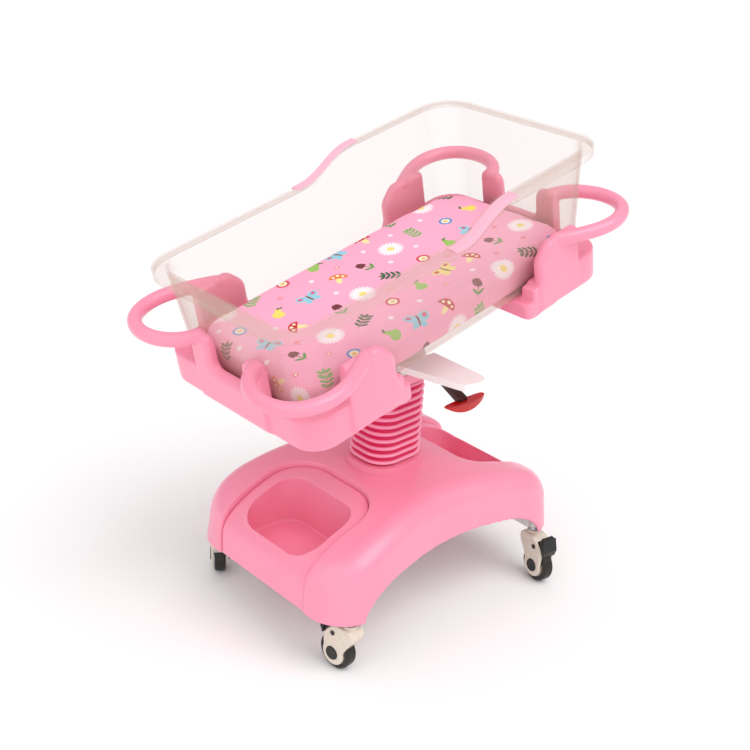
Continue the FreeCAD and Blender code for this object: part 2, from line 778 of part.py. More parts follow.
def bolt(r, x, y, head_z, length, head_h, up):
    """Hexagon-headed bolt; its head sits at head_z and its shank runs the other way."""
    turns = [math.radians(60 * i) for i in range(7)]
    corners = [V(x + 1.8 * r * math.cos(a), y + 1.8 * r * math.sin(a), head_z) for a in turns]
    head = Part.Face(Part.makePolygon(corners)).extrude(V(0, 0, up * head_h))
    return head.fuse(cylinder(r, V(x, y, head_z), V(0, 0, -up), length)).removeSplitter()


def column_bolt_places():
    return [(s * column_bolt_x, t * column_bolt_y) for s in (-1, 1) for t in (-1, 1)]


def make_base_frame():
    rail_bottom = rail_top_z - rail_height
    cross_top = caster_height + cross_height
    half_rail = rail_width / 2
    rail_end = caster_x + cross_width / 2
    solids = [box(-frame_plate_half_x, frame_plate_half_x, -rail_y, rail_y, rail_top_z - frame_plate,
                  rail_top_z)]
    holes = []
    for s in (-1, 1):
        x0, x1 = sorted((s * rail_end, s * (rail_end - cross_width)))
        y0, y1 = s * rail_y - half_rail, s * rail_y + half_rail
        solids.append(box(-rail_end, rail_end, y0, y1, rail_bottom, rail_top_z))
        solids.append(box(x0, x1, -caster_y, caster_y, caster_height, cross_top))
        for t in (-1, 1):
            y0, y1 = t * rail_y - half_rail, t * rail_y + half_rail
            solids.append(box(x0, x1, y0, y1, cross_top, rail_bottom))
            socket = V(s * caster_x, t * caster_y, caster_height)
            solids.append(cylinder(socket_r, socket, Z_AXIS, cross_height))
            holes.append(cylinder(stem_r + stem_play, socket - Z_AXIS, Z_AXIS, stem_length + 3))
    frame = fused(solids)
    for x, y in column_bolt_places():
        holes.append(cylinder(column_bolt_r, V(x, y, rail_bottom), Z_AXIS, rail_height + 1))
    for x, y in cover_screw_places():
        holes.append(cylinder(cover_screw_r, V(x, y, rail_bottom - 1), Z_AXIS, rail_height + 2))
    for hole in holes:
        frame = frame.cut(hole)
    return frame


def make_column():
    floor = rail_top_z
    hx, hy = column_outer_x / 2, column_outer_y / 2
    outer = rounded_prism(hx, hy, column_corner_r, floor, column_top_z)
    margin = column_bolt_margin
    outer = outer.fuse(rounded_prism(column_bolt_x + margin, column_bolt_y + margin, margin,
                                     floor, floor + column_flange))
    bore = rounded_prism(hx - column_wall, hy - column_wall, column_corner_r - column_wall,
                         floor - 1, column_top_z + 1)
    outer = outer.cut(bore)
    bolts = []
    for x, y in column_bolt_places():
        outer = outer.cut(cylinder(column_bolt_r, V(x, y, floor - 1), Z_AXIS, column_flange + 2))
        bolts.append(bolt(column_bolt_r, x, y, floor + column_flange,
                          column_flange + frame_plate + column_bolt_r, column_bolt_head, 1))
    add("column_outer_tube", on_column(outer.removeSplitter()))
    add("column_bolts", on_column(Part.makeCompound(bolts)))
    bx, by = hx - column_wall, hy - column_wall
    bush = rounded_prism(bx, by, column_corner_r - column_wall, column_top_z - bush_height, column_top_z)
    lip = rounded_prism(hx, hy, column_corner_r, column_top_z, column_top_z + 3)
    ix, iy = bx - bush_wall, by - bush_wall
    ir = column_corner_r - column_wall - bush_wall
    bush = bush.fuse(lip).cut(rounded_prism(ix, iy, ir, column_top_z - bush_height - 1, column_top_z + 10))
    add("column_guide_bush", on_column(bush.removeSplitter()))
    jx, jy, jr = ix - bush_play, iy - bush_play, ir - bush_play
    inner = rounded_prism(jx, jy, jr, inner_bottom_z, head_plate_z)
    inner = inner.cut(rounded_prism(jx - column_wall, jy - column_wall, jr - column_wall,
                                    inner_bottom_z - 1, head_plate_z + 1))
    add("column_inner_tube", on_column(inner))
    # lockable gas spring inside the column
    cyl = cylinder(gas_cylinder_r, V(0, 0, floor), Z_AXIS, gas_cylinder_top_z - floor)
    chamber_z = floor + 4
    cyl = cyl.cut(cylinder(gas_cylinder_r - gas_cylinder_wall, V(0, 0, chamber_z), Z_AXIS,
                           gas_cylinder_top_z - 12 - chamber_z))
    cyl = cyl.cut(cylinder(gas_rod_r + gas_rod_play, V(0, 0, chamber_z), Z_AXIS, 300))
    add("gas_spring_cylinder", on_column(cyl))
    rod = cylinder(gas_rod_r, V(0, 0, piston_z), Z_AXIS, head_plate_z - piston_z)
    rod = rod.fuse(cylinder(gas_cylinder_r - gas_cylinder_wall - 0.3, V(0, 0, piston_z), Z_AXIS, 8))
    add("gas_spring_rod", on_column(rod.removeSplitter()))


def make_bellows():
    hx, hy = bellows_x / 2, bellows_y / 2
    r, g = bellows_corner_r, bellows_groove
    height = bellows_top_z - bellows_bottom_z
    pitch = height / bellows_ribs
    body = rounded_prism(hx - g, hy - g, r - g, bellows_bottom_z, bellows_top_z)
    ribs = []
    for i in range(bellows_ribs):
        z = bellows_bottom_z + (i + 0.22) * pitch
        ribs.append(rounded_prism(hx, hy, r, z, z + 0.56 * pitch))
    body = body.multiFuse(ribs)
    for i in range(bellows_ribs):
        z = bellows_bottom_z + (i + 0.22) * pitch + bellows_wall
        body = body.cut(rounded_prism(hx - bellows_wall, hy - bellows_wall, r - bellows_wall,
                                      z, z + 0.56 * pitch - 2 * bellows_wall))
    w = g + bellows_wall
    body = body.cut(rounded_prism(hx - w, hy - w, r - w, bellows_bottom_z - 1, bellows_top_z + 1))
    add("bellows", on_column(body.removeSplitter()))
    collar = rounded_prism(hx + collar_width, hy + collar_width, r + collar_width,
                           base_shoulder_z, bellows_bottom_z)
    collar = collar.cut(rounded_prism(hx - w, hy - w, r - w, base_shoulder_z, bellows_bottom_z))
    add("bellows_collar", on_column(collar.cut(base_form(0, base_bottom_z))))
    cap = rounded_prism(hx + 2, hy + 2, r + 2, bellows_top_z, head_plate_z)
    cap_edges = [e for e in cap.Edges if e.BoundBox.ZMin > head_plate_z - 0.01]
    cap = cap.makeFillet(cap_edge_r, cap_edges)
    t = cap_wall
    cap = cap.cut(rounded_prism(hx - t, hy - t, r - t, bellows_top_z - 1, head_plate_z - t))
    t = column_wall + bush_wall + bush_play
    cap = cap.cut(rounded_prism(column_outer_x / 2 - t, column_outer_y / 2 - t, column_corner_r - t,
                                bellows_top_z, head_plate_z))
    add("bellows_cap", on_column(cap))


# ---- column head, cot frame ---------------------------------------------------------------
def make_column_head():
    top = head_plate_z + head_plate
    plate_half_y = ear_y + ear_thickness + 4
    plate = rounded_prism(head_plate_half_x, plate_half_y, head_plate_corner_r, head_plate_z, top)
    ears = []
    for s in (-1, 1):
        y0, y1 = sorted((s * ear_y, s * (ear_y + ear_thickness)))
        profile = [(-ear_root, top), (ear_root, top), (ear_r, pivot_z), (-ear_r, pivot_z)]
        web = polygon_prism_xz(profile, y0, y1)
        ears.append(web.fuse(cylinder(ear_r, V(0, y0, pivot_z), Y_AXIS, y1 - y0)))
    # block that carries the grip plate
    half = beam_half_width
    block = box(-half, half, -plate_half_y, 0, top, top + beam_height)
    head = fused([plate] + ears + [block])
    return head.cut(cylinder(bush_seat_r, V(0, -past * 2, pivot_z), Y_AXIS, past * 4))


def make_tilt_bushes():
    bushes = []
    for s in (-1, 1):
        start = V(0, min(s * ear_y, s * (ear_y + ear_thickness)), pivot_z)
        ring = cylinder(bush_seat_r, start, Y_AXIS, ear_thickness)
        bushes.append(ring.cut(cylinder(tilt_pin_r + tilt_pin_play, start, Y_AXIS, ear_thickness)))
    return Part.makeCompound(bushes)


def bracket_inner_y():
    return ear_y + ear_thickness + ear_gap


def make_cot_frame():
    """Steel frame under the tub: two rails, two cross bars, and two ears that hang from the rails."""
    y_in = bracket_inner_y()
    y_out = y_in + cot_rail_size
    top = cot_rail_z + cot_rail_size
    solids = []
    for s in (-1, 1):
        y0, y1 = sorted((s * y_in, s * y_out))
        solids.append(box(-cot_rail_half_length, cot_rail_half_length, y0, y1, cot_rail_z, top))
        e0, e1 = sorted((s * y_in, s * (y_in + bracket_thickness)))
        profile = [(-bracket_root, cot_rail_z), (bracket_root, cot_rail_z),
                   (ear_r, pivot_z), (-ear_r, pivot_z)]
        ear = polygon_prism_xz(profile, e0, e1)
        solids.append(ear.fuse(cylinder(ear_r, V(0, e0, pivot_z), Y_AXIS, e1 - e0)))
        x0, x1 = sorted((s * cot_cross_x, s * (cot_cross_x + cot_rail_size)))
        solids.append(box(x0, x1, -cot_cross_half_width, cot_cross_half_width, cot_rail_z, top))
    frame = fused(solids)
    return frame.cut(cylinder(tilt_pin_r, V(0, -past * 2, pivot_z), Y_AXIS, past * 4))


def make_tilt_pin():
    reach = bracket_inner_y() + bracket_thickness
    pin = cylinder(tilt_pin_r, V(0, -reach, pivot_z), Y_AXIS, 2 * reach)
    for s in (-1, 1):
        start = V(0, s * reach, pivot_z)
        pin = pin.fuse(cylinder(tilt_pin_r + tilt_pin_head, start, V(0, s, 0), 4))
    return pin.removeSplitter()


def make_cradle_screws():
    screws = []
    for sx in (-1, 1):
        for sy in (-1, 1):
            x = sx * (cot_cross_x + cot_rail_size / 2)
            screws.append(bolt(cradle_screw_r, x, sy * cradle_screw_y, cot_rail_z,
                               cot_rail_size + cradle_wall - 1, cradle_screw_head, -1))
    return Part.makeCompound(screws)


# ---- grip plate and release lever ---------------------------------------------------------
def make_grip_plate():
    """Tongue-shaped palm rest, drawn flat with its root at y = 0 and then raised to its slope."""
    length = grip_root_y - grip_tip_y
    wa, wb = grip_root_half_width, grip_tip_half_width

    def tongue(inset, z0, z1):
        a, b, tip = wa - inset, wb - inset, -length + inset
        shoulder = tip + grip_tip_run
        slope = (b + 4 - a) / 60
        edges = [
            Part.makeLine(V(-a, 0, z0), V(a, 0, z0)),
            Part.makeLine(V(a, 0, z0), V(b + 4, shoulder, z0)),
            Part.makeLine(V(-a, 0, z0), V(-b - 4, shoulder, z0)),
            spline_edge([V(b + 4, shoulder, z0), V(b * 0.8, tip + grip_tip_run / 5, z0), V(0, tip, z0),
                         V(-b * 0.8, tip + grip_tip_run / 5, z0), V(-b - 4, shoulder, z0)],
                        V(slope, -1.6, 0), V(slope, 1.6, 0)),
        ]
        return Part.Face(Part.Wire(Part.sortEdges(edges)[0])).extrude(V(0, 0, z1 - z0))

    plate = tongue(0, -grip_lip, 0)
    plate = plate.cut(tongue(grip_thickness, -grip_lip - 1, -grip_thickness))
    pin_y = lever_pivot_y - grip_root_y
    inner = lever_width / 2 + lever_side_play
    ears = []
    for s in (-1, 1):
        x0, x1 = sorted((s * inner, s * (inner + lever_ear)))
        ears.append(box(x0, x1, pin_y - lever_eye_r - 1, pin_y + lever_eye_r + 1,
                        -lever_pivot_drop - lever_eye_r, -grip_thickness))
    plate = fused([plate] + ears)
    return plate.cut(cylinder(lever_pin_r, V(-past, pin_y, -lever_pivot_drop), X_AXIS, 2 * past))


def grip_place(shape):
    placed = shape.copy()
    placed.rotate(V(0, 0, 0), X_AXIS, -grip_rise_deg)
    placed.translate(V(column_x + grip_offset_x, grip_root_y, grip_root_z))
    return placed


def make_lever():
    """Release lever under the flat palm rest: a stem on its pin, and a paddle shaped like a crescent."""
    y0 = lever_pivot_y - grip_root_y
    z0 = -lever_pivot_drop
    half = lever_width / 2
    py = paddle_y - grip_root_y
    pz = paddle_z - grip_root_z
    t, d = paddle_thickness, paddle_depth / 2
    w = paddle_half_width
    tip_low = pz + paddle_rise
    tip_high = tip_low + paddle_tip_thickness
    edges = [Part.Arc(V(-w, 0, tip_low), V(0, 0, pz), V(w, 0, tip_low)).toShape(),
             Part.Arc(V(-w, 0, tip_high), V(0, 0, pz + t), V(w, 0, tip_high)).toShape(),
             Part.makeLine(V(-w, 0, tip_low), V(-w, 0, tip_high)),
             Part.makeLine(V(w, 0, tip_low), V(w, 0, tip_high))]
    crescent = Part.Face(Part.Wire(Part.sortEdges(edges)[0]))
    crescent.translate(V(0, py - d, 0))
    crescent = crescent.extrude(V(0, 2 * d, 0))
    plan = Part.makeCylinder(1, reach, V(0, 0, -reach / 2), Z_AXIS)
    stretch = FreeCAD.Matrix()
    stretch.A11 = w + 2
    stretch.A22 = d
    plan = plan.transformGeometry(stretch)
    plan.translate(V(0, py, 0))
    paddle = crescent.common(plan)
    eye = cylinder(lever_eye_r, V(-half, y0, z0), X_AXIS, 2 * half)
    stem_end = py + d * 0.2
    stem_points = [(y0 + 4, z0 + 7), (stem_end, pz + t + 5), (stem_end, pz + t * 0.5), (y0 - 6, z0 - 6)]
    stem = fused([eye, polygon_prism_yz(stem_points, -half, half)])
    pin_bore = cylinder(lever_pin_r + lever_pin_play, V(-past, y0, z0), X_AXIS, 2 * past)
    stem = stem.cut(paddle).cut(pin_bore)
    pin_half = half + lever_side_play + lever_ear
    pin = cylinder(lever_pin_r, V(-pin_half, y0, z0), X_AXIS, 2 * pin_half)
    return stem, paddle, pin


# ---- casters ------------------------------------------------------------------------------
def fork_cheek_profile(y0, y1):
    """Apple-shaped cheek, in the wheel's plane; the swivel axis is at x = 0."""
    tail = V(trail + 23, y0, wheel_r + 8)
    nose = V(trail - 25, y0, wheel_r + 6)
    front = V(-fork_crown_front, y0, fork_crown_z)
    back = V(fork_crown_back, y0, fork_crown_z)
    brow = [nose, V(trail - 38, y0, wheel_r + 30), V(-20, y0, fork_crown_z - 8), front]
    rear = [back, V(trail + 6, y0, fork_crown_z - 8), V(trail + 24, y0, wheel_r + 32), tail]
    edges = [
        Part.Arc(tail, V(trail + 1, y0, wheel_r - 26), nose).toShape(),
        spline_edge(brow, V(-0.3, 0, 1), V(1, 0, 0.4)),
        Part.makeLine(front, back),
        spline_edge(rear, V(1, 0, -0.15), V(0, 0, -1)),
    ]
    return Part.Face(Part.Wire(Part.sortEdges(edges)[0])).extrude(V(0, y1 - y0, 0))


def across(r, z):
    """Cylinder right through the caster, parallel to its axle, at the trailing distance."""
    return cylinder(r, V(trail, -past, z), Y_AXIS, 2 * past)


def make_fork():
    """Moulded caster housing; the wheel trails towards +X."""
    slot = wheel_width / 2 + fork_gap
    half = slot + fork_cheek
    fork = fork_cheek_profile(-half, half)
    fork = fork.makeFillet(fork_edge_r, [e for e in fork.Edges if e.BoundBox.YLength < 0.01])
    fork = fork.cut(cylinder(wheel_r + wheel_clearance, V(trail, -slot, wheel_r), Y_AXIS, 2 * slot))
    fork = fork.cut(box(trail - past, trail + past, -slot, slot, -past, wheel_r - 6))
    pedal_slot_z = brake_pin_z + brake_eye_r + 5.5
    fork = fork.cut(box(trail - brake_eye_r - 1, trail + past, -slot, slot, wheel_r, pedal_slot_z))
    boss_z = fork_crown_z - 3
    fork = fork.fuse(cylinder(fork_boss_r, V(0, 0, boss_z), Z_AXIS, stem_ring_z - boss_z)).removeSplitter()
    fork = fork.cut(cylinder(stem_r, V(0, 0, fork_crown_z - stem_sink), Z_AXIS, past))
    return fork.cut(across(brake_pin_r + brake_pin_play, brake_pin_z)).cut(across(axle_r, wheel_r))


def make_axle():
    """Axle with a flat cap at each end."""
    half = wheel_width / 2 + fork_gap + fork_cheek
    axle = cylinder(axle_r, V(trail, -half, wheel_r), Y_AXIS, 2 * half)
    for s in (-1, 1):
        centre = V(trail, s * half, wheel_r)
        axle = axle.fuse(Part.makeCone(cap_r, cap_r - cap_chamfer, cap_thickness, centre, V(0, s, 0)))
    return axle.removeSplitter()


def make_stem():
    start = V(0, 0, fork_crown_z - stem_sink)
    stem = cylinder(stem_r, start, Z_AXIS, caster_height + stem_length - start.z)
    ring = cylinder(stem_ring_r, V(0, 0, stem_ring_z), Z_AXIS, caster_height - stem_ring_z)
    return stem.fuse(ring).removeSplitter()


def make_tyre():
    tyre = cylinder(wheel_r, V(trail, -wheel_width / 2, wheel_r), Y_AXIS, wheel_width)
    tyre = tyre.makeFillet(tyre_edge_r, [e for e in tyre.Edges if e.BoundBox.YLength < 0.01])
    return tyre.cut(across(hub_r, wheel_r))


def make_hub():
    """Wheel centre with a dished web and a raised boss round the axle."""
    half = wheel_width / 2
    hub = cylinder(hub_r, V(trail, -half + 1, wheel_r), Y_AXIS, wheel_width - 2)
    for s in (-1, 1):
        dish = V(trail, s * (half - hub_dish), wheel_r)
        hub = hub.cut(cylinder(hub_r - hub_rim, dish, V(0, s, 0), hub_dish))
        hub = hub.fuse(cylinder(hub_boss_r, dish - V(0, s, 0), V(0, s, 0), hub_dish + 1.5))
    return hub.removeSplitter().cut(across(axle_r + axle_play, wheel_r))


def make_brake_pedal():
    """Flared foot pedal over the wheel's trailing side, with the pin that it turns on."""
    root = trail + 4
    tip = pedal_reach
    z = brake_pin_z
    a, b = pedal_root_half_width, pedal_tip_half_width
    side = [(root, z - 6), (root, z + 4), (tip - 16, z + 28), (tip - 6, z + 27), (tip, z),
            (tip - 8, z - 26), (tip - 18, z - 24)]
    blade = polygon_prism_xz(side, -past, past)
    plan = Part.Face(Part.makePolygon([V(root, -a, 0), V(tip, -b, 0), V(tip, b, 0), V(root, a, 0),
                                       V(root, -a, 0)]))
    blade = blade.common(plan.extrude(V(0, 0, caster_height + past)))
    blade = blade.cut(across(wheel_r + pedal_wheel_gap, wheel_r))
    fork_side = wheel_width / 2 + fork_gap
    inside = fork_side - 0.5
    outside = fork_side + fork_cheek + brake_head_gap
    eye = cylinder(brake_eye_r, V(trail, -inside, z), Y_AXIS, 2 * inside)
    pedal = [blade, eye, cylinder(brake_pin_r, V(trail, -outside, z), Y_AXIS, 2 * outside)]
    for s in (-1, 1):
        pedal.append(cylinder(brake_pin_r + 2, V(trail, s * outside, z), V(0, s, 0), brake_head))
    pedal = fused(pedal)
    for s in (-1, 1):
        y0, y1 = sorted((s * inside, s * (outside - 0.01)))
        pedal = pedal.cut(box(trail + brake_pin_r + 1, trail + pedal_fork_x, y0, y1, 0, caster_height + past))
    return pedal


def place_caster(shape, name):
    sx = -1 if name.startswith("foot") else 1
    sy = -1 if name.endswith("near") else 1
    placed = shape.copy()
    placed.rotate(V(0, 0, 0), Z_AXIS, caster_angles[name])
    placed.translate(V(column_x + sx * caster_x, sy * caster_y, 0))
    return placed


# ---- build --------------------------------------------------------------------------------
def build_cot():
    add("tub", on_cot(make_tub()))
    add("rim_trim_near", on_cot(make_trim(-1)))
    add("rim_trim_far", on_cot(make_trim(1)))
    add("mattress", on_cot(make_mattress()))
    handle = make_handle()
    handles = [handle, mirrored_y(handle)]
    screws = make_cradle_screws()
    frame = make_cot_frame().cut(screws)
    cradle = make_head_cradle(handles, frame, screws)
    add("head_cradle", on_cot(cradle))
    add("foot_cradle", on_cot(mirrored_x(cradle)))
    for side, shape in zip(("far", "near"), handles):
        add("head_" + side + "_handle", on_cot(shape))
        add("foot_" + side + "_handle", on_cot(mirrored_x(shape)))
    add("cot_frame", on_cot(frame))
    add("tilt_pin", on_cot(make_tilt_pin()))
    add("cradle_screws", on_cot(screws))


def build_base():
    add("base_cover", on_column(make_base_cover()))
    tray = make_head_tray()
    add("head_tray", on_column(tray))
    add("foot_tray", on_column(mirrored_x(tray)))
    add("base_frame", on_column(make_base_frame()))
    shank = rail_height + cover_screw_grip - 2
    screws = [bolt(cover_screw_r, x, y, rail_top_z - rail_height, shank, cover_screw_head, -1)
              for x, y in cover_screw_places()]
    add("cover_screws", on_column(Part.makeCompound(screws)))


def build_grip():
    add("grip_plate", grip_place(make_grip_plate()))
    stem, paddle, pin = make_lever()
    add("lever_stem", grip_place(stem))
    add("lever_paddle", grip_place(paddle))
    add("lever_pin", grip_place(pin))


def build_casters():
    makers = {"fork": make_fork, "stem": make_stem, "axle": make_axle, "tyre": make_tyre,
              "hub": make_hub, "brake_pedal": make_brake_pedal}
    for piece, maker in makers.items():
        shape = maker()
        for name in caster_angles:
            add(name + "_caster_" + piece, place_caster(shape, name))


build_cot()
add("column_head", on_column(make_column_head()))
add("tilt_bushes", on_column(make_tilt_bushes()))
make_column()
make_bellows()
build_base()
build_grip()
build_casters()
os.makedirs("parts", exist_ok=True)
for node, shape in parts.items():
    shape.exportStep("parts/" + node + ".step")
    state = "valid" if shape.isValid() else "INVALID"
    print(node, len(shape.Solids), "solids", round(shape.Volume / 1000, 1), "cm3", state)
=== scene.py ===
import json
import math

import bmesh
import bpy
import numpy as np
from mathutils import Matrix, Vector


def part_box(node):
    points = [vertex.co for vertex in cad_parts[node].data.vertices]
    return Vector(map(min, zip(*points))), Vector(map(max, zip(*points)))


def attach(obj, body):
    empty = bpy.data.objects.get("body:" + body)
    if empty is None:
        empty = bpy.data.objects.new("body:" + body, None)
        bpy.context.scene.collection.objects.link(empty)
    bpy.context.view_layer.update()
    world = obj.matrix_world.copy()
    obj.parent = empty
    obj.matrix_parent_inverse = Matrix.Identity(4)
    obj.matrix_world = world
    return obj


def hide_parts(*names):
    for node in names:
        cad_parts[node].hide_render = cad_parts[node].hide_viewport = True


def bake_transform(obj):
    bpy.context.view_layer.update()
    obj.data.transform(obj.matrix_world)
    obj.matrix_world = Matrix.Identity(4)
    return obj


# Looks of a hospital bassinet, built around its CAD frame. Metres, +Z up, +X towards the head end.
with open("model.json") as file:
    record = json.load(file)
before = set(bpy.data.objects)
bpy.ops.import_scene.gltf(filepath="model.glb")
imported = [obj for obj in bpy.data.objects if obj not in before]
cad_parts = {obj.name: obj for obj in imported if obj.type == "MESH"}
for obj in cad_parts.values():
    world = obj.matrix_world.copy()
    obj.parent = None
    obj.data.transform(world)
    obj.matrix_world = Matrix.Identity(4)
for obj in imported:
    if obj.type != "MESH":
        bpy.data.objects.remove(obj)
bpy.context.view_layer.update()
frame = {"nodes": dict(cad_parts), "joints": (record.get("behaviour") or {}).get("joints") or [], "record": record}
NODES = frame["nodes"]
JOINTS = {joint["name"]: joint for joint in frame["joints"]}
MM = 0.001

# ---- the cot's own level frame --------------------------------------------------------------
# The cot is tilted about its pivot. A level point keeps its height above the floor at the pivot.
lift_axis = Vector(JOINTS["tub_lift_out"]["axis"])
pivot = Vector(JOINTS["cot_tilt"]["pos_m"])
tilt = math.atan2(-lift_axis.x, lift_axis.z)
TO_ROW = (Matrix.Translation(pivot) @ Matrix.Rotation(-tilt, 4, "Y")
          @ Matrix.Translation((0, 0, -pivot.z)))
TO_LEVEL = TO_ROW.inverted()


def level_box(node):
    """Lowest and highest corner of a CAD node in the cot's level frame."""
    points = np.array([TO_LEVEL @ v.co for v in NODES[node].data.vertices])
    return Vector(points.min(0)), Vector(points.max(0))


# ---- mesh helpers ---------------------------------------------------------------------------
def new_object(name, mesh):
    obj = bpy.data.objects.new(name, mesh)
    bpy.context.scene.collection.objects.link(obj)
    return obj


def mesh_from(name, verts, faces):
    mesh = bpy.data.meshes.new(name)
    mesh.from_pydata([tuple(v) for v in verts], [], faces)
    mesh.polygons.foreach_set("use_smooth", [True] * len(mesh.polygons))
    mesh.update()
    return new_object(name, mesh)


def copy_of(name, *nodes):
    """One new object from the meshes of CAD nodes, with their split edges welded."""
    bm = bmesh.new()
    for node in nodes:
        bm.from_mesh(NODES[node].data)
    bmesh.ops.remove_doubles(bm, verts=bm.verts, dist=1e-6)
    mesh = bpy.data.meshes.new(name)
    bm.to_mesh(mesh)
    bm.free()
    return new_object(name, mesh)


def bake_modifiers(obj):
    """Replaces the mesh by what its modifiers make of it."""
    bpy.context.view_layer.update()
    depsgraph = bpy.context.evaluated_depsgraph_get()
    mesh = bpy.data.meshes.new_from_object(obj.evaluated_get(depsgraph))
    obj.modifiers.clear()
    obj.data = mesh


def voxel_remesh(obj, size):
    modifier = obj.modifiers.new("remesh", "REMESH")
    modifier.mode = "VOXEL"
    modifier.voxel_size = size
    modifier.use_smooth_shade = True
    bake_modifiers(obj)


def soften(obj, rounds):
    modifier = obj.modifiers.new("soften", "SMOOTH")
    modifier.factor = 0.5
    modifier.iterations = rounds
    bake_modifiers(obj)


def subdivide(obj, levels):
    modifier = obj.modifiers.new("subdivision", "SUBSURF")
    modifier.levels = levels
    modifier.render_levels = levels
    bake_modifiers(obj)


def rounded_ring(half_x, half_y, corner, steps):
    """Corner centre and outward direction of each point round a rounded rectangle."""
    ring = []
    for sx, sy, start in ((1, 1, 0), (-1, 1, 90), (-1, -1, 180), (1, -1, 270)):
        for i in range(steps + 1):
            a = math.radians(start + 90 * i / steps)
            ring.append((sx * (half_x - corner), sy * (half_y - corner), math.cos(a), math.sin(a)))
    return ring


def band_faces(rows, count):
    """Quads between closed rows that have count points each."""
    faces = []
    for i in range(rows - 1):
        for j in range(count):
            k = (j + 1) % count
            faces.append((i * count + j, i * count + k, (i + 1) * count + k, (i + 1) * count + j))
    return faces


# ---- node helpers ---------------------------------------------------------------------------
class Wire:
    """A number in a shader tree, on which arithmetic makes Math nodes."""

    def __init__(self, tree, value):
        self.tree = tree
        self.value = value

    def math(self, operation, *others):
        node = self.tree.nodes.new("ShaderNodeMath")
        node.operation = operation
        for i, term in enumerate((self, *others)):
            plug(self.tree, term, node.inputs[i])
        return Wire(self.tree, node.outputs[0])

    def __add__(self, other):
        return self.math("ADD", other)

    def __sub__(self, other):
        return self.math("SUBTRACT", other)

    def __mul__(self, other):
        return self.math("MULTIPLY", other)

    def __truediv__(self, other):
        return self.math("DIVIDE", other)


def plug(tree, source, socket):
    if isinstance(source, Wire):
        source = source.value
    if isinstance(source, bpy.types.NodeSocket):
        tree.links.new(source, socket)
    else:
        socket.default_value = source


def less(value, limit, soft=0.4):
    """1 where value is under limit, 0 over it, with an edge that is soft wide."""
    edge = (value * -1.0 + limit) / soft + 0.5
    return edge.math("MAXIMUM", 0.0).math("MINIMUM", 1.0)


def blend_colour(tree, factor, first, second):
    node = tree.nodes.new("ShaderNodeMix")
    node.data_type = "RGBA"
    plug(tree, factor, node.inputs["Factor"])
    plug(tree, first, node.inputs["A"])
    plug(tree, second, node.inputs["B"])
    return node.outputs["Result"]


def rgb(red, green, blue):
    """Scene colour of an 8-bit screen colour."""
    linear = []
    for part in (red, green, blue):
        share = part / 255
        linear.append(share / 12.92 if share <= 0.04045 else ((share + 0.055) / 1.055) ** 2.4)
    return (*linear, 1.0)


def new_material(name):
    material = bpy.data.materials.new(name)
    material.use_nodes = True
    tree = material.node_tree
    shader = tree.nodes["Principled BSDF"]
    return material, tree, shader


def noise(tree, scale, detail=3.0, roughness=0.5):
    coords = tree.nodes.new("ShaderNodeTexCoord")
    node = tree.nodes.new("ShaderNodeTexNoise")
    node.inputs["Scale"].default_value = scale
    node.inputs["Detail"].default_value = detail
    node.inputs["Roughness"].default_value = roughness
    tree.links.new(coords.outputs["Object"], node.inputs["Vector"])
    return Wire(tree, node.outputs["Fac"])


def bump(tree, shader, height, strength, distance):
    node = tree.nodes.new("ShaderNodeBump")
    node.inputs["Strength"].default_value = strength
    node.inputs["Distance"].default_value = distance
    plug(tree, height, node.inputs["Height"])
    tree.links.new(node.outputs["Normal"], shader.inputs["Normal"])


def vary(tree, shader, colour, other, scale):
    """Base colour that drifts between two close tones over the surface."""
    drift = noise(tree, scale, 4.0)
    tree.links.new(blend_colour(tree, drift, colour, other), shader.inputs["Base Color"])


def vary_roughness(tree, shader, low, high, scale):
    rough = noise(tree, scale, 5.0, 0.6) * (high - low) + low
    plug(tree, rough, shader.inputs["Roughness"])


# ---- materials ------------------------------------------------------------------------------
def moulded_plastic(name, colour, other, low=0.3, high=0.42, grain=900.0, coat=0.0):
    material, tree, shader = new_material(name)
    vary(tree, shader, colour, other, 7.0)
    vary_roughness(tree, shader, low, high, 60.0)
    shader.inputs["IOR"].default_value = 1.5
    shader.inputs["Coat Weight"].default_value = coat
    shader.inputs["Coat Roughness"].default_value = 0.2
    bump(tree, shader, noise(tree, grain, 2.0), 0.06, 0.0004)
    return material


def metal(name, colour, rough_low, rough_high, grain=400.0):
    material, tree, shader = new_material(name)
    vary(tree, shader, colour, tuple(0.8 * c for c in colour[:3]) + (1.0,), 25.0)
    shader.inputs["Metallic"].default_value = 1.0
    vary_roughness(tree, shader, rough_low, rough_high, grain)
    return material


def clear_plastic():
    """Thin clear wall: nearly open seen square on, and milky along its edges."""
    material, tree, shader = new_material("clear_polycarbonate")
    vary(tree, shader, rgb(214, 184, 172), rgb(208, 174, 160), 6.0)
    shader.inputs["IOR"].default_value = 1.55
    vary_roughness(tree, shader, 0.06, 0.12, 30.0)
    square_on, edge_gain, edge_power, most = 0.09, 0.75, 2.2, 0.9
    facing = tree.nodes.new("ShaderNodeLayerWeight")
    facing.inputs["Blend"].default_value = 0.4
    veil = Wire(tree, facing.outputs["Facing"]).math("POWER", edge_power) * edge_gain + square_on
    plug(tree, veil.math("MINIMUM", most), shader.inputs["Alpha"])
    return material


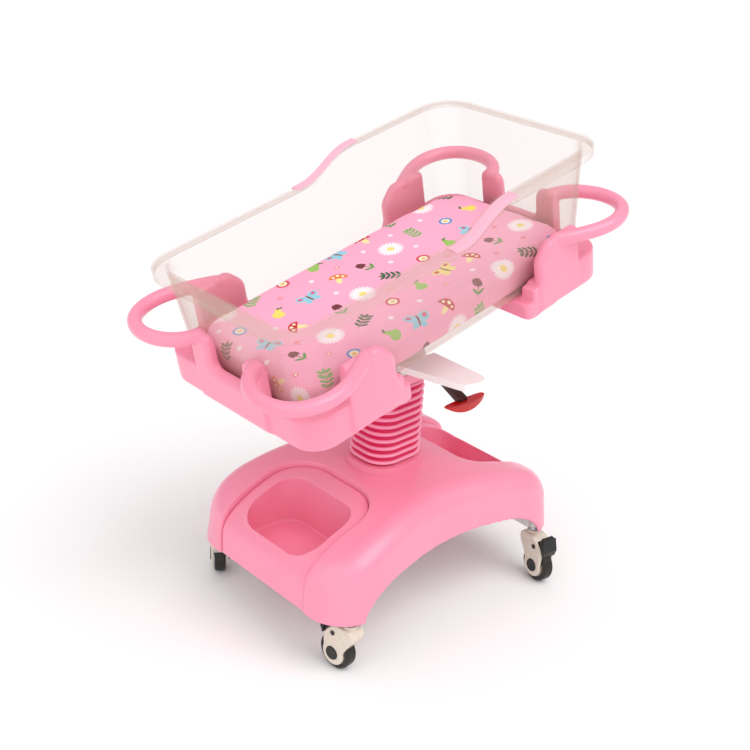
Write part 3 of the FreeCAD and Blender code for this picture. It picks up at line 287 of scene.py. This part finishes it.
class Motif:
    """One cell of the printed cover: local coordinates in millimetres, and the colour so far."""

    def __init__(self, tree, x, y, colour):
        self.tree = tree
        self.x = x
        self.y = y
        self.r = (x * x + y * y).math("SQRT")
        self.angle = y.math("ARCTAN2", x)
        self.colour = colour

    def paint(self, mask, colour):
        self.colour = blend_colour(self.tree, mask, self.colour, colour)

    def ellipse(self, cx, cy, rx, ry, turn=0.0, mirror=False):
        """1 inside an ellipse; mirror repeats it on both sides of x = 0."""
        x = self.x.math("ABSOLUTE") if mirror else self.x
        x, y = x - cx, self.y - cy
        c, s = math.cos(turn), math.sin(turn)
        along = (x * c + y * s) / rx
        across = (y * c - x * s) / ry
        return less((along * along + across * across).math("SQRT"), 1.0, 0.5 / min(rx, ry))


def daisy(cell, on, _odd):
    petals = (cell.angle * 11.0).math("COSINE").math("ABSOLUTE") * 0.3 + 0.7
    cell.paint(less(cell.r, petals * 27.0) * on, rgb(255, 240, 244))
    cell.paint(less(cell.r, 7.5) * on, rgb(250, 226, 120))


def ring(cell, on, odd):
    outer = blend_colour(cell.tree, odd, rgb(88, 140, 205), rgb(214, 60, 84))
    cell.paint(less(cell.r, 14.0) * on, outer)
    cell.paint(less(cell.r, 9.0) * on, rgb(246, 236, 205))
    cell.paint(less(cell.r, 4.0) * on, rgb(240, 190, 90))


def sprig(cell, on, odd):
    green = blend_colour(cell.tree, odd, rgb(122, 176, 96), rgb(44, 92, 52))
    shape = cell.ellipse(0, 0, 1.1, 22).math("MAXIMUM", cell.ellipse(0, 22, 3, 6))
    for height in (-13, -3, 7, 16):
        leaf = cell.ellipse(7, height + 4, 7.5, 3.2, 0.6, mirror=True)
        shape = shape.math("MAXIMUM", leaf)
    cell.paint(shape * on, green)


def butterfly(cell, on, odd):
    wing = blend_colour(cell.tree, odd, rgb(142, 206, 224), rgb(248, 226, 130))
    spot = blend_colour(cell.tree, odd, rgb(214, 84, 122), rgb(206, 24, 24))
    upper = cell.ellipse(13, 7, 13, 9.5, 0.5, mirror=True)
    lower = cell.ellipse(9, -9, 9, 6.5, -0.6, mirror=True)
    cell.paint(upper.math("MAXIMUM", lower) * on, wing)
    cell.paint(cell.ellipse(16, 9, 5.5, 4.2, 0.5, mirror=True) * on, spot)
    cell.paint(cell.ellipse(0, 0, 2.2, 13) * on, rgb(120, 60, 40))


def mushroom(cell, on, odd):
    cap = blend_colour(cell.tree, odd, rgb(200, 24, 28), rgb(226, 120, 44))
    cell.paint(cell.ellipse(0, -8, 6.0, 13) * on, rgb(250, 232, 160))
    dome = cell.ellipse(0, -1, 19, 17) * less(cell.y * -1.0, 1.5)
    cell.paint(dome * on, cap)
    dots = cell.ellipse(9.5, 5, 3, 3, mirror=True).math("MAXIMUM", cell.ellipse(0, 9.5, 3.4, 3.4))
    cell.paint(dots * on, rgb(255, 244, 214))


def tulip(cell, on, _odd):
    leaf = cell.ellipse(7, -11, 9, 3.2, 0.8, mirror=True)
    stem = cell.ellipse(0, -8, 1.2, 16)
    cell.paint(leaf.math("MAXIMUM", stem) * on, rgb(84, 150, 66))
    outer = cell.ellipse(4.5, 10, 4.6, 9.5, 0.25, mirror=True)
    cell.paint(outer.math("MAXIMUM", cell.ellipse(0, 9, 4.5, 10)) * on, rgb(112, 22, 40))


def pear(cell, on, odd):
    skin = blend_colour(cell.tree, odd, rgb(250, 222, 96), rgb(150, 196, 88))
    body = cell.ellipse(0, -5, 12, 11).math("MAXIMUM", cell.ellipse(0, 6, 6.5, 10))
    cell.paint(body * on, skin)
    cell.paint(cell.ellipse(0, 17, 1.2, 4.5) * on, rgb(96, 56, 36))
    cell.paint(cell.ellipse(5.5, 18, 5.5, 2.4, 0.5) * on, rgb(60, 120, 60))


def cell_grid(tree, u, v, size, jitter, turn):
    """Splits the cloth into square cells, each with its own offset and turn."""
    column, row = (u / size).math("FLOOR"), (v / size).math("FLOOR")
    where = tree.nodes.new("ShaderNodeCombineXYZ")
    plug(tree, column, where.inputs[0])
    plug(tree, row, where.inputs[1])
    white = tree.nodes.new("ShaderNodeTexWhiteNoise")
    white.noise_dimensions = "3D"
    tree.links.new(where.outputs[0], white.inputs["Vector"])
    split = tree.nodes.new("ShaderNodeSeparateColor")
    tree.links.new(white.outputs["Color"], split.inputs[0])
    pick = [Wire(tree, output) for output in split.outputs]
    x = (u / size - column - 0.5) * size - (pick[0] - 0.5) * jitter
    y = (v / size - row - 0.5) * size - (pick[1] - 0.5) * jitter
    angle = (pick[2] - 0.5) * turn
    c, s = angle.math("COSINE"), angle.math("SINE")
    number = column * 2.0 + row * 3.0
    return x * c + y * s, y * c - x * s, number, pick


PRINT_CELL = 74.0               # millimetres from one large motif of the print to the next


def printed_cover():
    """Pink cover with a scattered nursery print, drawn in the cloth's own flat coordinates."""
    material, tree, shader = new_material("printed_cover")
    flat = tree.nodes.new("ShaderNodeUVMap")
    flat.uv_map = "print"
    split = tree.nodes.new("ShaderNodeSeparateXYZ")
    tree.links.new(flat.outputs["UV"], split.inputs[0])
    shift_u, shift_v = 2030.0, 2040.0       # choose which cells, and so which motifs, lie on the pad
    u = Wire(tree, split.outputs[0]) * 1000.0 + shift_u
    v = Wire(tree, split.outputs[1]) * 1000.0 + shift_v
    colour = blend_colour(tree, noise(tree, 5.0), rgb(255, 176, 206), rgb(254, 164, 196))

    drawings = (daisy, butterfly, sprig, mushroom, ring, tulip, pear)
    x, y, number, pick = cell_grid(tree, u, v, PRINT_CELL, 20.0, 2.4)
    kind = number.math("FLOORED_MODULO", float(len(drawings)))
    odd = pick[0].math("GREATER_THAN", 0.5)
    cell = Motif(tree, x, y, colour)
    for i, drawing in enumerate(drawings):
        drawing(cell, kind.math("COMPARE", float(i), 0.4), odd)

    # small dots and rings between the large motifs, on the corners of the same cells
    half = PRINT_CELL / 2
    x, y, number, pick = cell_grid(tree, u + half, v + half, PRINT_CELL, 12.0, 3.0)
    small = Motif(tree, x, y, cell.colour)
    shown = pick[1].math("GREATER_THAN", 0.35)
    tone = blend_colour(tree, pick[2].math("GREATER_THAN", 0.5), rgb(255, 226, 236), rgb(244, 130, 150))
    small.paint(less(small.r, 5.5) * shown, tone)
    small.paint(less(small.r, 2.4) * shown * odd, rgb(255, 246, 210))
    tree.links.new(small.colour, shader.inputs["Base Color"])

    shader.inputs["Sheen Weight"].default_value = 0.15
    shader.inputs["Sheen Roughness"].default_value = 0.5
    vary_roughness(tree, shader, 0.62, 0.78, 80.0)
    weave = (u * 9.0).math("SINE") * (v * 9.0).math("SINE") * 0.25 + noise(tree, 22.0, 4.0)
    bump(tree, shader, weave, 0.18, 0.0012)
    return material


def bellows_material():
    """Pink ribs with painted shade in the grooves: deep red by how far a point lies in a groove."""
    material, tree, shader = new_material("bellows_rubber")
    depth = tree.nodes.new("ShaderNodeAttribute")
    depth.attribute_name = "groove"
    wobble = noise(tree, 40.0) * 0.12
    # painted shade: the grooves are painted deep red, standing in for the shade that falls between the folds
    inside = less((Wire(tree, depth.outputs["Fac"]) + wobble) * -1.0, -0.56, 0.3)
    colour = blend_colour(tree, inside, rgb(255, 166, 196), rgb(222, 22, 92))
    tree.links.new(colour, shader.inputs["Base Color"])
    vary_roughness(tree, shader, 0.38, 0.5, 50.0)
    bump(tree, shader, noise(tree, 600.0), 0.05, 0.0004)
    return material


PINK = moulded_plastic("pink_plastic", rgb(252, 154, 182), rgb(248, 144, 172), 0.26, 0.36, coat=0.2)
TRIM_PINK = moulded_plastic("trim_rubber", rgb(255, 184, 204), rgb(255, 176, 196), 0.42, 0.52)
CLEAR = clear_plastic()
COVER = printed_cover()
BELLOWS = bellows_material()
STEEL_PAINT = moulded_plastic("frame_paint", rgb(226, 224, 220), rgb(214, 212, 208), 0.3, 0.45, 700.0)
ZINC = metal("zinc_steel", rgb(196, 198, 202), 0.22, 0.38)
BUSH = moulded_plastic("bush_plastic", rgb(52, 52, 54), rgb(44, 44, 46), 0.45, 0.6)
PALM = moulded_plastic("palm_plate", rgb(255, 250, 248), rgb(250, 244, 242), 0.2, 0.3, coat=0.3)
RED = moulded_plastic("lever_red", rgb(196, 4, 2), rgb(178, 2, 2), 0.22, 0.3, 300.0, coat=0.15)
# painted shade: the lever arm gets the lever's red darkened to brown, as it looks in the shadow under the palm
# plate
SHADED_LEVER_ARM = moulded_plastic("lever_arm", rgb(70, 22, 16), rgb(48, 14, 10), 0.3, 0.45)
IVORY = moulded_plastic("caster_ivory", rgb(228, 217, 203), rgb(220, 206, 190), 0.22, 0.34, coat=0.3)
BLACK = moulded_plastic("caster_black", rgb(26, 24, 24), rgb(18, 17, 17), 0.35, 0.5)
TYRE = moulded_plastic("tyre_rubber", rgb(34, 26, 22), rgb(22, 18, 16), 0.4, 0.55, 500.0)
HUB = moulded_plastic("hub_plastic", rgb(214, 202, 186), rgb(200, 188, 172), 0.35, 0.5)


def paint(obj, material):
    obj.data.materials.clear()
    obj.data.materials.append(material)


def paint_node(node, material):
    """A CAD node keeps its mesh, and gets a material in each of its slots."""
    obj = NODES[node]
    if not obj.data.materials:
        obj.data.materials.append(material)
    for i in range(len(obj.data.materials)):
        obj.data.materials[i] = material


# ---- finer shapes of the pieces -------------------------------------------------------------
CRADLE_VOXEL = 2.2 * MM
CRADLE_ROUNDS = 12              # smoothing of a cradle before its thin loops are joined to it
JOINED_ROUNDS = 8               # and after that
TRIM_VOXEL = 1.1 * MM
TRIM_ROUNDS = 10
TRIM_STEP = 2 * MM              # length of the steps in which a trim's top line is read
TRIM_END_LEG = 4 * MM           # a trim's leg at its ends
TRIM_LEG_GAIN = 7 * MM          # and how much longer it is away from them
TRIM_TAPER = 40 * MM            # over this length
COVER_VOXEL = 2.4 * MM
COVER_ROUNDS = 12
TRAY_VOXEL = 1.8 * MM
TRAY_ROUNDS = 8
PAD_INSET = 3 * MM              # the pad's sides and top lie this far inside the CAD mattress
PAD_LIFT = 1 * MM
PAD_CORNER = 66 * MM
PAD_EDGE = 12 * MM
PAD_VOXEL = 5 * MM
PAD_SIDE_SWELL = 2.5 * MM       # most that the pad's cover swells to the sides
PAD_TOP_SWELL = 7 * MM          # and at the top
PAD_BOTTOM_SWELL = 0.5 * MM
BELLOWS_CORNER = 48 * MM
BELLOWS_GROOVE = 8.5 * MM
BELLOWS_RIBS = 11
BELLOWS_WALL = 1.6 * MM
ROWS_PER_RIB = 12


def finish(piece, body, slot, material, *nodes):
    """Paints a piece, lets it ride on its body, and hides the CAD nodes that it stands for."""
    paint(piece, material)
    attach(piece, body)
    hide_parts(*nodes)


def make_cradles():
    """Cradle and loops flow into each other: the cradle alone is rounded more than the thin loops."""
    for end in ("head", "foot"):
        nodes = (end + "_cradle", end + "_near_handle", end + "_far_handle")
        shell = copy_of(end + "_cradle_moulding", nodes[0])
        voxel_remesh(shell, CRADLE_VOXEL)
        soften(shell, CRADLE_ROUNDS)
        bm = bmesh.new()
        bm.from_mesh(shell.data)
        for node in nodes[1:]:
            bm.from_mesh(NODES[node].data)
        bm.to_mesh(shell.data)
        bm.free()
        voxel_remesh(shell, CRADLE_VOXEL)
        soften(shell, JOINED_ROUNDS)
        finish(shell, "carriage", "pink_moulding", PINK, *nodes)


def make_trims():
    """Slim soft strips over the rim's ramps, whose legs get shorter towards both ends."""
    for side in ("near", "far"):
        node = "rim_trim_" + side
        strip = copy_of("rim_strip_" + side, node)
        voxel_remesh(strip, TRIM_VOXEL)
        strip.data.transform(TO_LEVEL)
        co = np.array([v.co for v in strip.data.vertices])
        start, end = co[:, 0].min(), co[:, 0].max()
        step = np.floor((co[:, 0] - start) / TRIM_STEP).astype(int)
        top = np.full(step.max() + 1, -1.0)
        np.maximum.at(top, step, co[:, 2])
        from_end = np.minimum(co[:, 0] - start, end - co[:, 0])
        leg = TRIM_END_LEG + TRIM_LEG_GAIN * np.clip(from_end / TRIM_TAPER, 0, 1) ** 0.5
        co[:, 2] = np.maximum(co[:, 2], top[step] - leg)
        strip.data.vertices.foreach_set("co", co.ravel())
        strip.data.transform(TO_ROW)
        voxel_remesh(strip, TRIM_VOXEL)
        soften(strip, TRIM_ROUNDS)
        finish(strip, "tub", "rim_trim", TRIM_PINK, node)


def make_base():
    """Cover and trays with soft edges."""
    pieces = (("base_cover", COVER_VOXEL, COVER_ROUNDS), ("head_tray", TRAY_VOXEL, TRAY_ROUNDS),
              ("foot_tray", TRAY_VOXEL, TRAY_ROUNDS))
    for node, voxel, rounds in pieces:
        moulding = copy_of(node + "_moulding", node)
        voxel_remesh(moulding, voxel)
        soften(moulding, rounds)
        finish(moulding, "base", "pink_moulding", PINK, node)


def make_mattress():
    """Crowned pad, swollen by a cloth simulation and covered with the print."""
    low, high = level_box("mattress")
    half_x = (high.x - low.x) / 2 - PAD_INSET
    half_y = (high.y - low.y) / 2 - PAD_INSET
    centre = (low + high) / 2
    bottom, top = low.z + PAD_LIFT, high.z - PAD_INSET
    outline = rounded_ring(half_x, half_y, PAD_CORNER, 14)
    rings = []
    for start, middle in ((-90, bottom + PAD_EDGE), (0, top - PAD_EDGE)):
        for i in range(7):
            a = math.radians(start + 90 * i / 6)
            rings.append((PAD_CORNER - PAD_EDGE + PAD_EDGE * math.cos(a), middle + PAD_EDGE * math.sin(a)))
    verts = []
    for r, z in rings:
        for x, y, c, s in outline:
            verts.append((centre.x + x + r * c, centre.y + y + r * s, z))
    n = len(outline)
    faces = band_faces(len(rings), n)
    faces.append(tuple(range(n))[::-1])
    faces.append(tuple((len(rings) - 1) * n + j for j in range(n)))
    pad = mesh_from("mattress_cover", verts, faces)
    voxel_remesh(pad, PAD_VOXEL)
    swell(pad, bottom, top)
    soften(pad, 3)
    subdivide(pad, 1)
    lay_print(pad, top)
    pad.data.transform(TO_ROW)
    finish(pad, "mattress", "mattress_cover", COVER, "mattress")


def swell(pad, bottom, top):
    """Cloth simulation under inner pressure; each point may move only a few millimetres."""
    rest = np.array([v.co for v in pad.data.vertices])
    cloth = pad.modifiers.new("cloth", "CLOTH")
    settings = cloth.settings
    settings.use_pressure = True
    settings.uniform_pressure_force = 4.0
    settings.effector_weights.gravity = 0.0
    settings.tension_stiffness = 15.0
    settings.compression_stiffness = 15.0
    settings.bending_stiffness = 0.6
    scene = bpy.context.scene
    for number in range(1, 21):
        scene.frame_set(number)
    bake_modifiers(pad)
    moved = np.array([v.co for v in pad.data.vertices]) - rest
    moved[:, :2] = np.clip(moved[:, :2], -PAD_SIDE_SWELL, PAD_SIDE_SWELL)
    height = np.clip((rest[:, 2] - bottom) / (top - bottom), 0, 1)
    moved[:, 2] = np.clip(moved[:, 2], -PAD_BOTTOM_SWELL, PAD_TOP_SWELL * height + 0.2 * MM)
    pad.data.vertices.foreach_set("co", (rest + moved).ravel())
    scene.frame_set(1)


def lay_print(pad, top):
    """Flat coordinates of the cloth: the top as it lies, and the sides folded out round it."""
    mesh = pad.data
    co = np.array([v.co for v in mesh.vertices])
    normal = np.array([v.normal for v in mesh.vertices])
    outward = normal[:, :2].copy()
    length = np.linalg.norm(outward, axis=1)
    outward /= np.maximum(length, 1e-6)[:, None]
    share = np.clip(length * 1.5, 0, 1)     # the fold sets in where the cloth starts to slope
    drop = np.maximum(top - co[:, 2], 0) * share
    flat = co[:, :2] + outward * drop[:, None]
    loops = np.zeros(len(mesh.loops), int)
    mesh.loops.foreach_get("vertex_index", loops)
    layer = mesh.uv_layers.new(name="print")
    layer.data.foreach_set("uv", flat[loops].ravel())


def make_bellows():
    """Folded skin, whose grooves are marked for the material's painted shade, between the collar and the cap."""
    low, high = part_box("bellows")
    centre = (low + high) / 2
    half_x, half_y = (high.x - low.x) / 2, (high.y - low.y) / 2
    pitch = (high.z - low.z) / BELLOWS_RIBS
    outline = rounded_ring(half_x, half_y, BELLOWS_CORNER, 12)
    rows = BELLOWS_RIBS * ROWS_PER_RIB + 1
    verts, depths = [], []
    for i in range(rows):
        phase = i / ROWS_PER_RIB
        depth = (0.5 + 0.5 * math.cos(2 * math.pi * phase)) ** 0.8
        r = BELLOWS_CORNER - BELLOWS_GROOVE * depth
        for x, y, c, s in outline:
            verts.append((centre.x + x + r * c, centre.y + y + r * s, low.z + phase * pitch))
            depths.append(depth)
    skin = mesh_from("bellows_skin", verts, band_faces(rows, len(outline)))
    layer = skin.data.attributes.new("groove", "FLOAT", "POINT")
    layer.data.foreach_set("value", depths)
    thick = skin.modifiers.new("wall", "SOLIDIFY")
    thick.thickness = BELLOWS_WALL
    thick.offset = -1
    bake_modifiers(skin)
    paint(skin, BELLOWS)
    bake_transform(skin)
    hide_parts("bellows")


def paint_nodes():
    finishes = {"steel_frame": STEEL_PAINT, "bright_steel": ZINC, "bush_plastic": BUSH, "palm_plate": PALM,
                "lever_red": RED, "lever_arm": SHADED_LEVER_ARM, "caster_ivory": IVORY, "caster_black": BLACK,
                "tyre": TYRE, "hub": HUB, "clear_shell": CLEAR, "rim_trim": TRIM_PINK,
                "pink_moulding": PINK, "mattress_cover": COVER, "bellows_rubber": BELLOWS}
    for part in frame["record"]["subparts"]:
        paint_node(part["node"], finishes[part["material_slot"]])


# ---- stage ----------------------------------------------------------------------------------
def make_floor():
    half = 30.0
    floor = mesh_from("floor", [(-half, -half, 0), (half, -half, 0), (half, half, 0), (-half, half, 0)],
                      [(0, 1, 2, 3)])
    material, tree, shader = new_material("floor_white")
    vary(tree, shader, rgb(252, 252, 252), rgb(250, 250, 250), 0.6)
    shader.inputs["Roughness"].default_value = 0.9
    shader.inputs["Specular IOR Level"].default_value = 0.1
    paint(floor, material)


def make_lights():
    world = bpy.data.worlds.new("studio")
    world.use_nodes = True
    world.node_tree.nodes["Background"].inputs["Color"].default_value = (1, 1, 1, 1)
    world.node_tree.nodes["Background"].inputs["Strength"].default_value = 0.56
    bpy.context.scene.world = world
    soft_sun("key", (0.2, -0.8, 1.1), 1.3, 45)
    soft_sun("top", (-0.4, 0.1, 1.0), 0.6, 80)
    soft_sun("fill", (-1.0, -0.45, 0.3), 0.75, 90)


def soft_sun(name, direction, strength, spread_deg):
    """A far, broad studio light that shines from a direction."""
    data = bpy.data.lights.new(name, "SUN")
    data.energy = strength
    data.angle = math.radians(spread_deg)
    light = new_object(name, data)
    light.rotation_mode = "QUATERNION"
    light.rotation_quaternion = Vector(direction).to_track_quat("Z", "Y")


def make_camera():
    """The photograph's viewpoint, solved from the rim, the cradles and the casters."""
    place = Vector((-1.54688, -1.55713, 1.53143))
    yaw, pitch, roll = 0.7919243, 0.4461474, 0.0603879
    forward = Vector((math.cos(yaw) * math.cos(pitch), math.sin(yaw) * math.cos(pitch), -math.sin(pitch)))
    side = Vector((math.sin(yaw), -math.cos(yaw), 0))
    up = side.cross(forward)
    right = side * math.cos(roll) + up * math.sin(roll)
    top = up * math.cos(roll) - side * math.sin(roll)
    data = bpy.data.cameras.new("camera")
    data.sensor_width = 36
    data.lens = 59.18
    camera = new_object("camera", data)
    camera.matrix_world = Matrix((
        (right.x, top.x, -forward.x, place.x),
        (right.y, top.y, -forward.y, place.y),
        (right.z, top.z, -forward.z, place.z),
        (0, 0, 0, 1)))
    bpy.context.scene.camera = camera


bpy.context.scene.view_settings.view_transform = "Standard"
make_camera()
make_lights()
make_floor()
paint_nodes()
make_cradles()
make_trims()
make_base()
make_mattress()
make_bellows()
